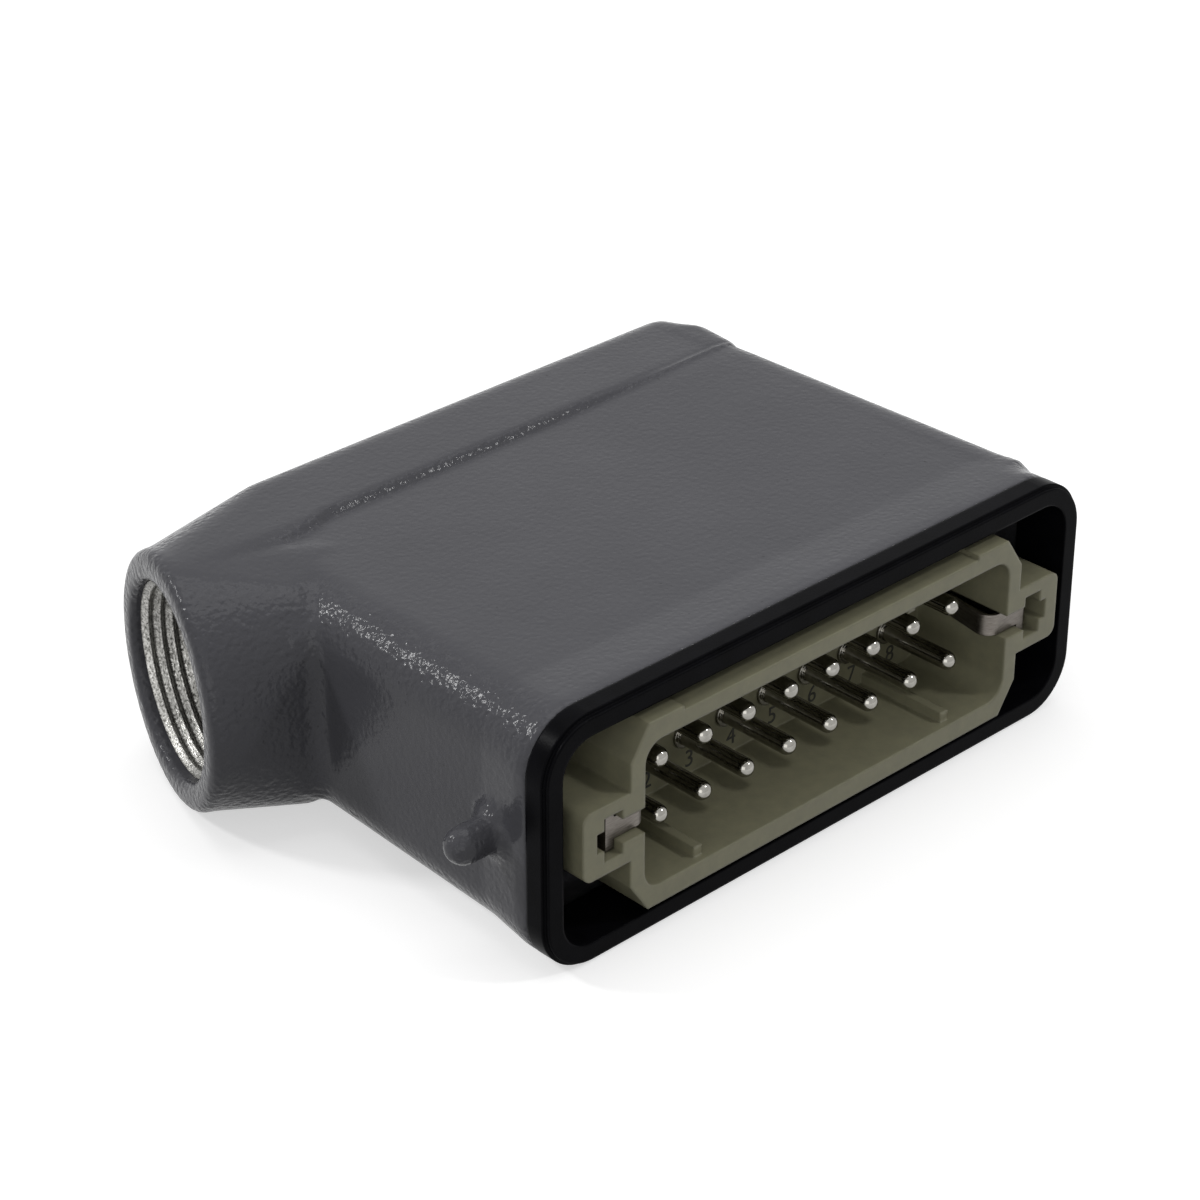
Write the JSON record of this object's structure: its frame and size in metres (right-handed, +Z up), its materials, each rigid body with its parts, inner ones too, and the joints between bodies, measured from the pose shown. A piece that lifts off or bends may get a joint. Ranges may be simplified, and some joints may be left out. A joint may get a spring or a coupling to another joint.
{
  "type": "heavy duty rectangular connector",
  "caption": "Rectangular power connector: cast side-entry hood lying on a broad face, with mouth seal, locking pegs and a shrouded male contact insert.",
  "frame": {"origin": "middle of the bounding box, on the surface that the hood lies on", "axes": "+X along the mouth with the cable entry at -X, -Y out of the mouth, +Z up"},
  "size_m": [0.0976, 0.0688, 0.0297],
  "materials": {
    "hood": "textured grey powder coat on die-cast aluminium",
    "seal": "black nitrile rubber",
    "insulator": "beige-grey glass-filled thermoplastic",
    "contact": "silver plate on copper alloy",
    "ground": "tinned sheet",
    "screw": "zinc-plated steel"
  },
  "bodies": {
    "root": {"hood_shell": "hood", "mouth_seal": "seal", "contact_insert": "insulator", "contact_pin_01": "contact", "contact_pin_02": "contact", "contact_pin_03": "contact", "contact_pin_04": "contact", "contact_pin_05": "contact", "contact_pin_06": "contact", "contact_pin_07": "contact", "contact_pin_08": "contact", "contact_pin_09": "contact", "contact_pin_10": "contact", "contact_pin_11": "contact", "contact_pin_12": "contact", "contact_pin_13": "contact", "contact_pin_14": "contact", "contact_pin_15": "contact", "contact_pin_16": "contact", "terminal_screws": "screw", "ground_spring_left": "ground", "ground_spring_right": "ground", "ground_plate_left": "ground", "ground_plate_right": "ground", "ground_screws": "ground", "insert_screws": "screw", "screw_washers": "screw"}
  },
  "joints": []
}
